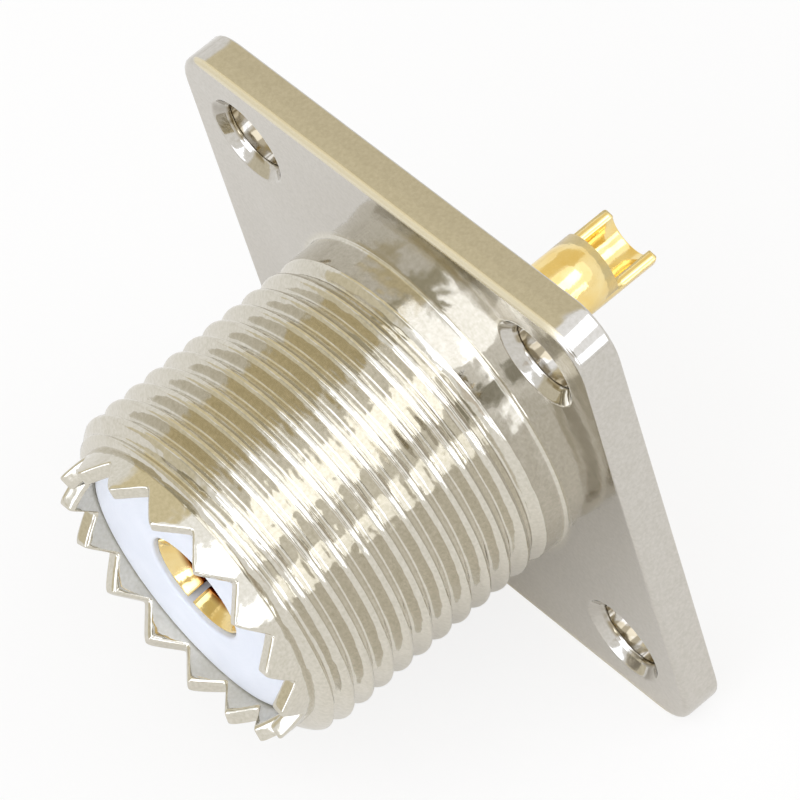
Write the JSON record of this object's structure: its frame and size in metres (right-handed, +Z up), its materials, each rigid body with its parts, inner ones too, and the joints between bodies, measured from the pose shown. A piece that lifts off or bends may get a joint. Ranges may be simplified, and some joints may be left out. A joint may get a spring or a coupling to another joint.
{
  "type": "uhf chassis socket",
  "caption": "Coaxial chassis socket with a square mounting flange, threaded barrel, toothed rim, white insulator and a slotted centre contact that ends in a solder cup.",
  "frame": {"origin": "on the mating axis, in the flange's rear face, which rests on the panel", "axes": "-Y along the mating axis towards the plug, +Z up along a flange edge, +X to the right seen from the mating side"},
  "size_m": [0.0254, 0.0255, 0.0254],
  "materials": {
    "nickel_plate": "polished nickel plate on brass",
    "ptfe": "smooth white PTFE",
    "gold_plate": "polished gold plate on bronze"
  },
  "bodies": {
    "root": {"shell": "nickel_plate", "insulator": "ptfe", "contact": "gold_plate"}
  },
  "joints": []
}
